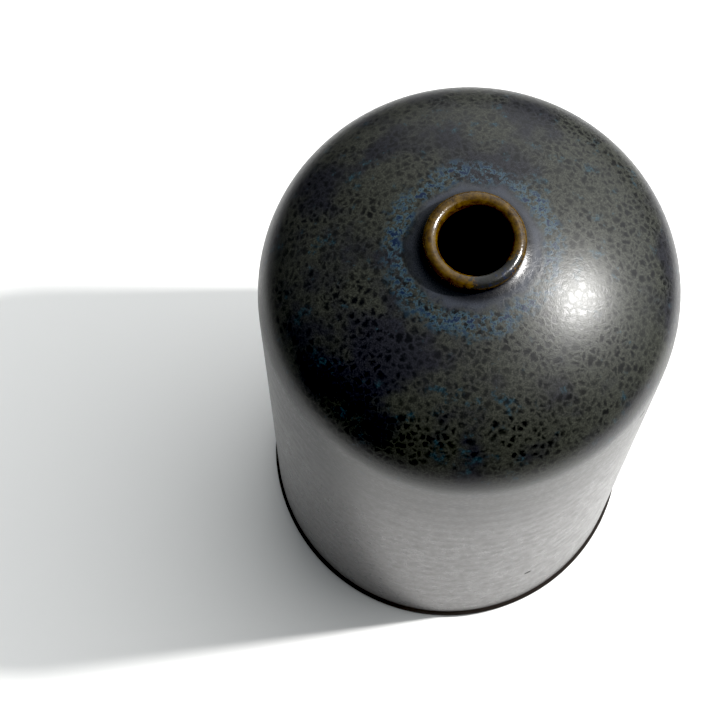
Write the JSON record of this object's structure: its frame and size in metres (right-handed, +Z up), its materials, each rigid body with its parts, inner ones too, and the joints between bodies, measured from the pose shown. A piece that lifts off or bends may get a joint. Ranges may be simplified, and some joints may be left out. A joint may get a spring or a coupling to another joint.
{
  "type": "vase",
  "caption": "Wheel-thrown stoneware bottle vase: tapering wall, round closed-in shoulder, short neck with a rolled lip, dark mottled glaze breaking amber at the mouth.",
  "frame": {"origin": "centre of the foot ring's resting plane", "axes": "+Z up along the vase's axis of revolution, +X and +Y any two square directions, since the vase is round"},
  "size_m": [0.12, 0.12, 0.2036],
  "materials": {
    "bare_clay": "matte, fired brown stoneware",
    "wall_glaze": "satin",
    "shoulder_glaze": "satin, mottled",
    "amber_glaze": "gloss",
    "liner_glaze": "gloss"
  },
  "bodies": {
    "root": {"foot_ring": "bare_clay", "base_floor": "bare_clay", "body_wall": "bare_clay", "shoulder_dome": "bare_clay", "neck_collar": "bare_clay", "lip_roll": "bare_clay", "wall_glaze": "wall_glaze", "shoulder_glaze": "shoulder_glaze", "lip_glaze": "amber_glaze", "liner_glaze": "liner_glaze"}
  },
  "joints": []
}
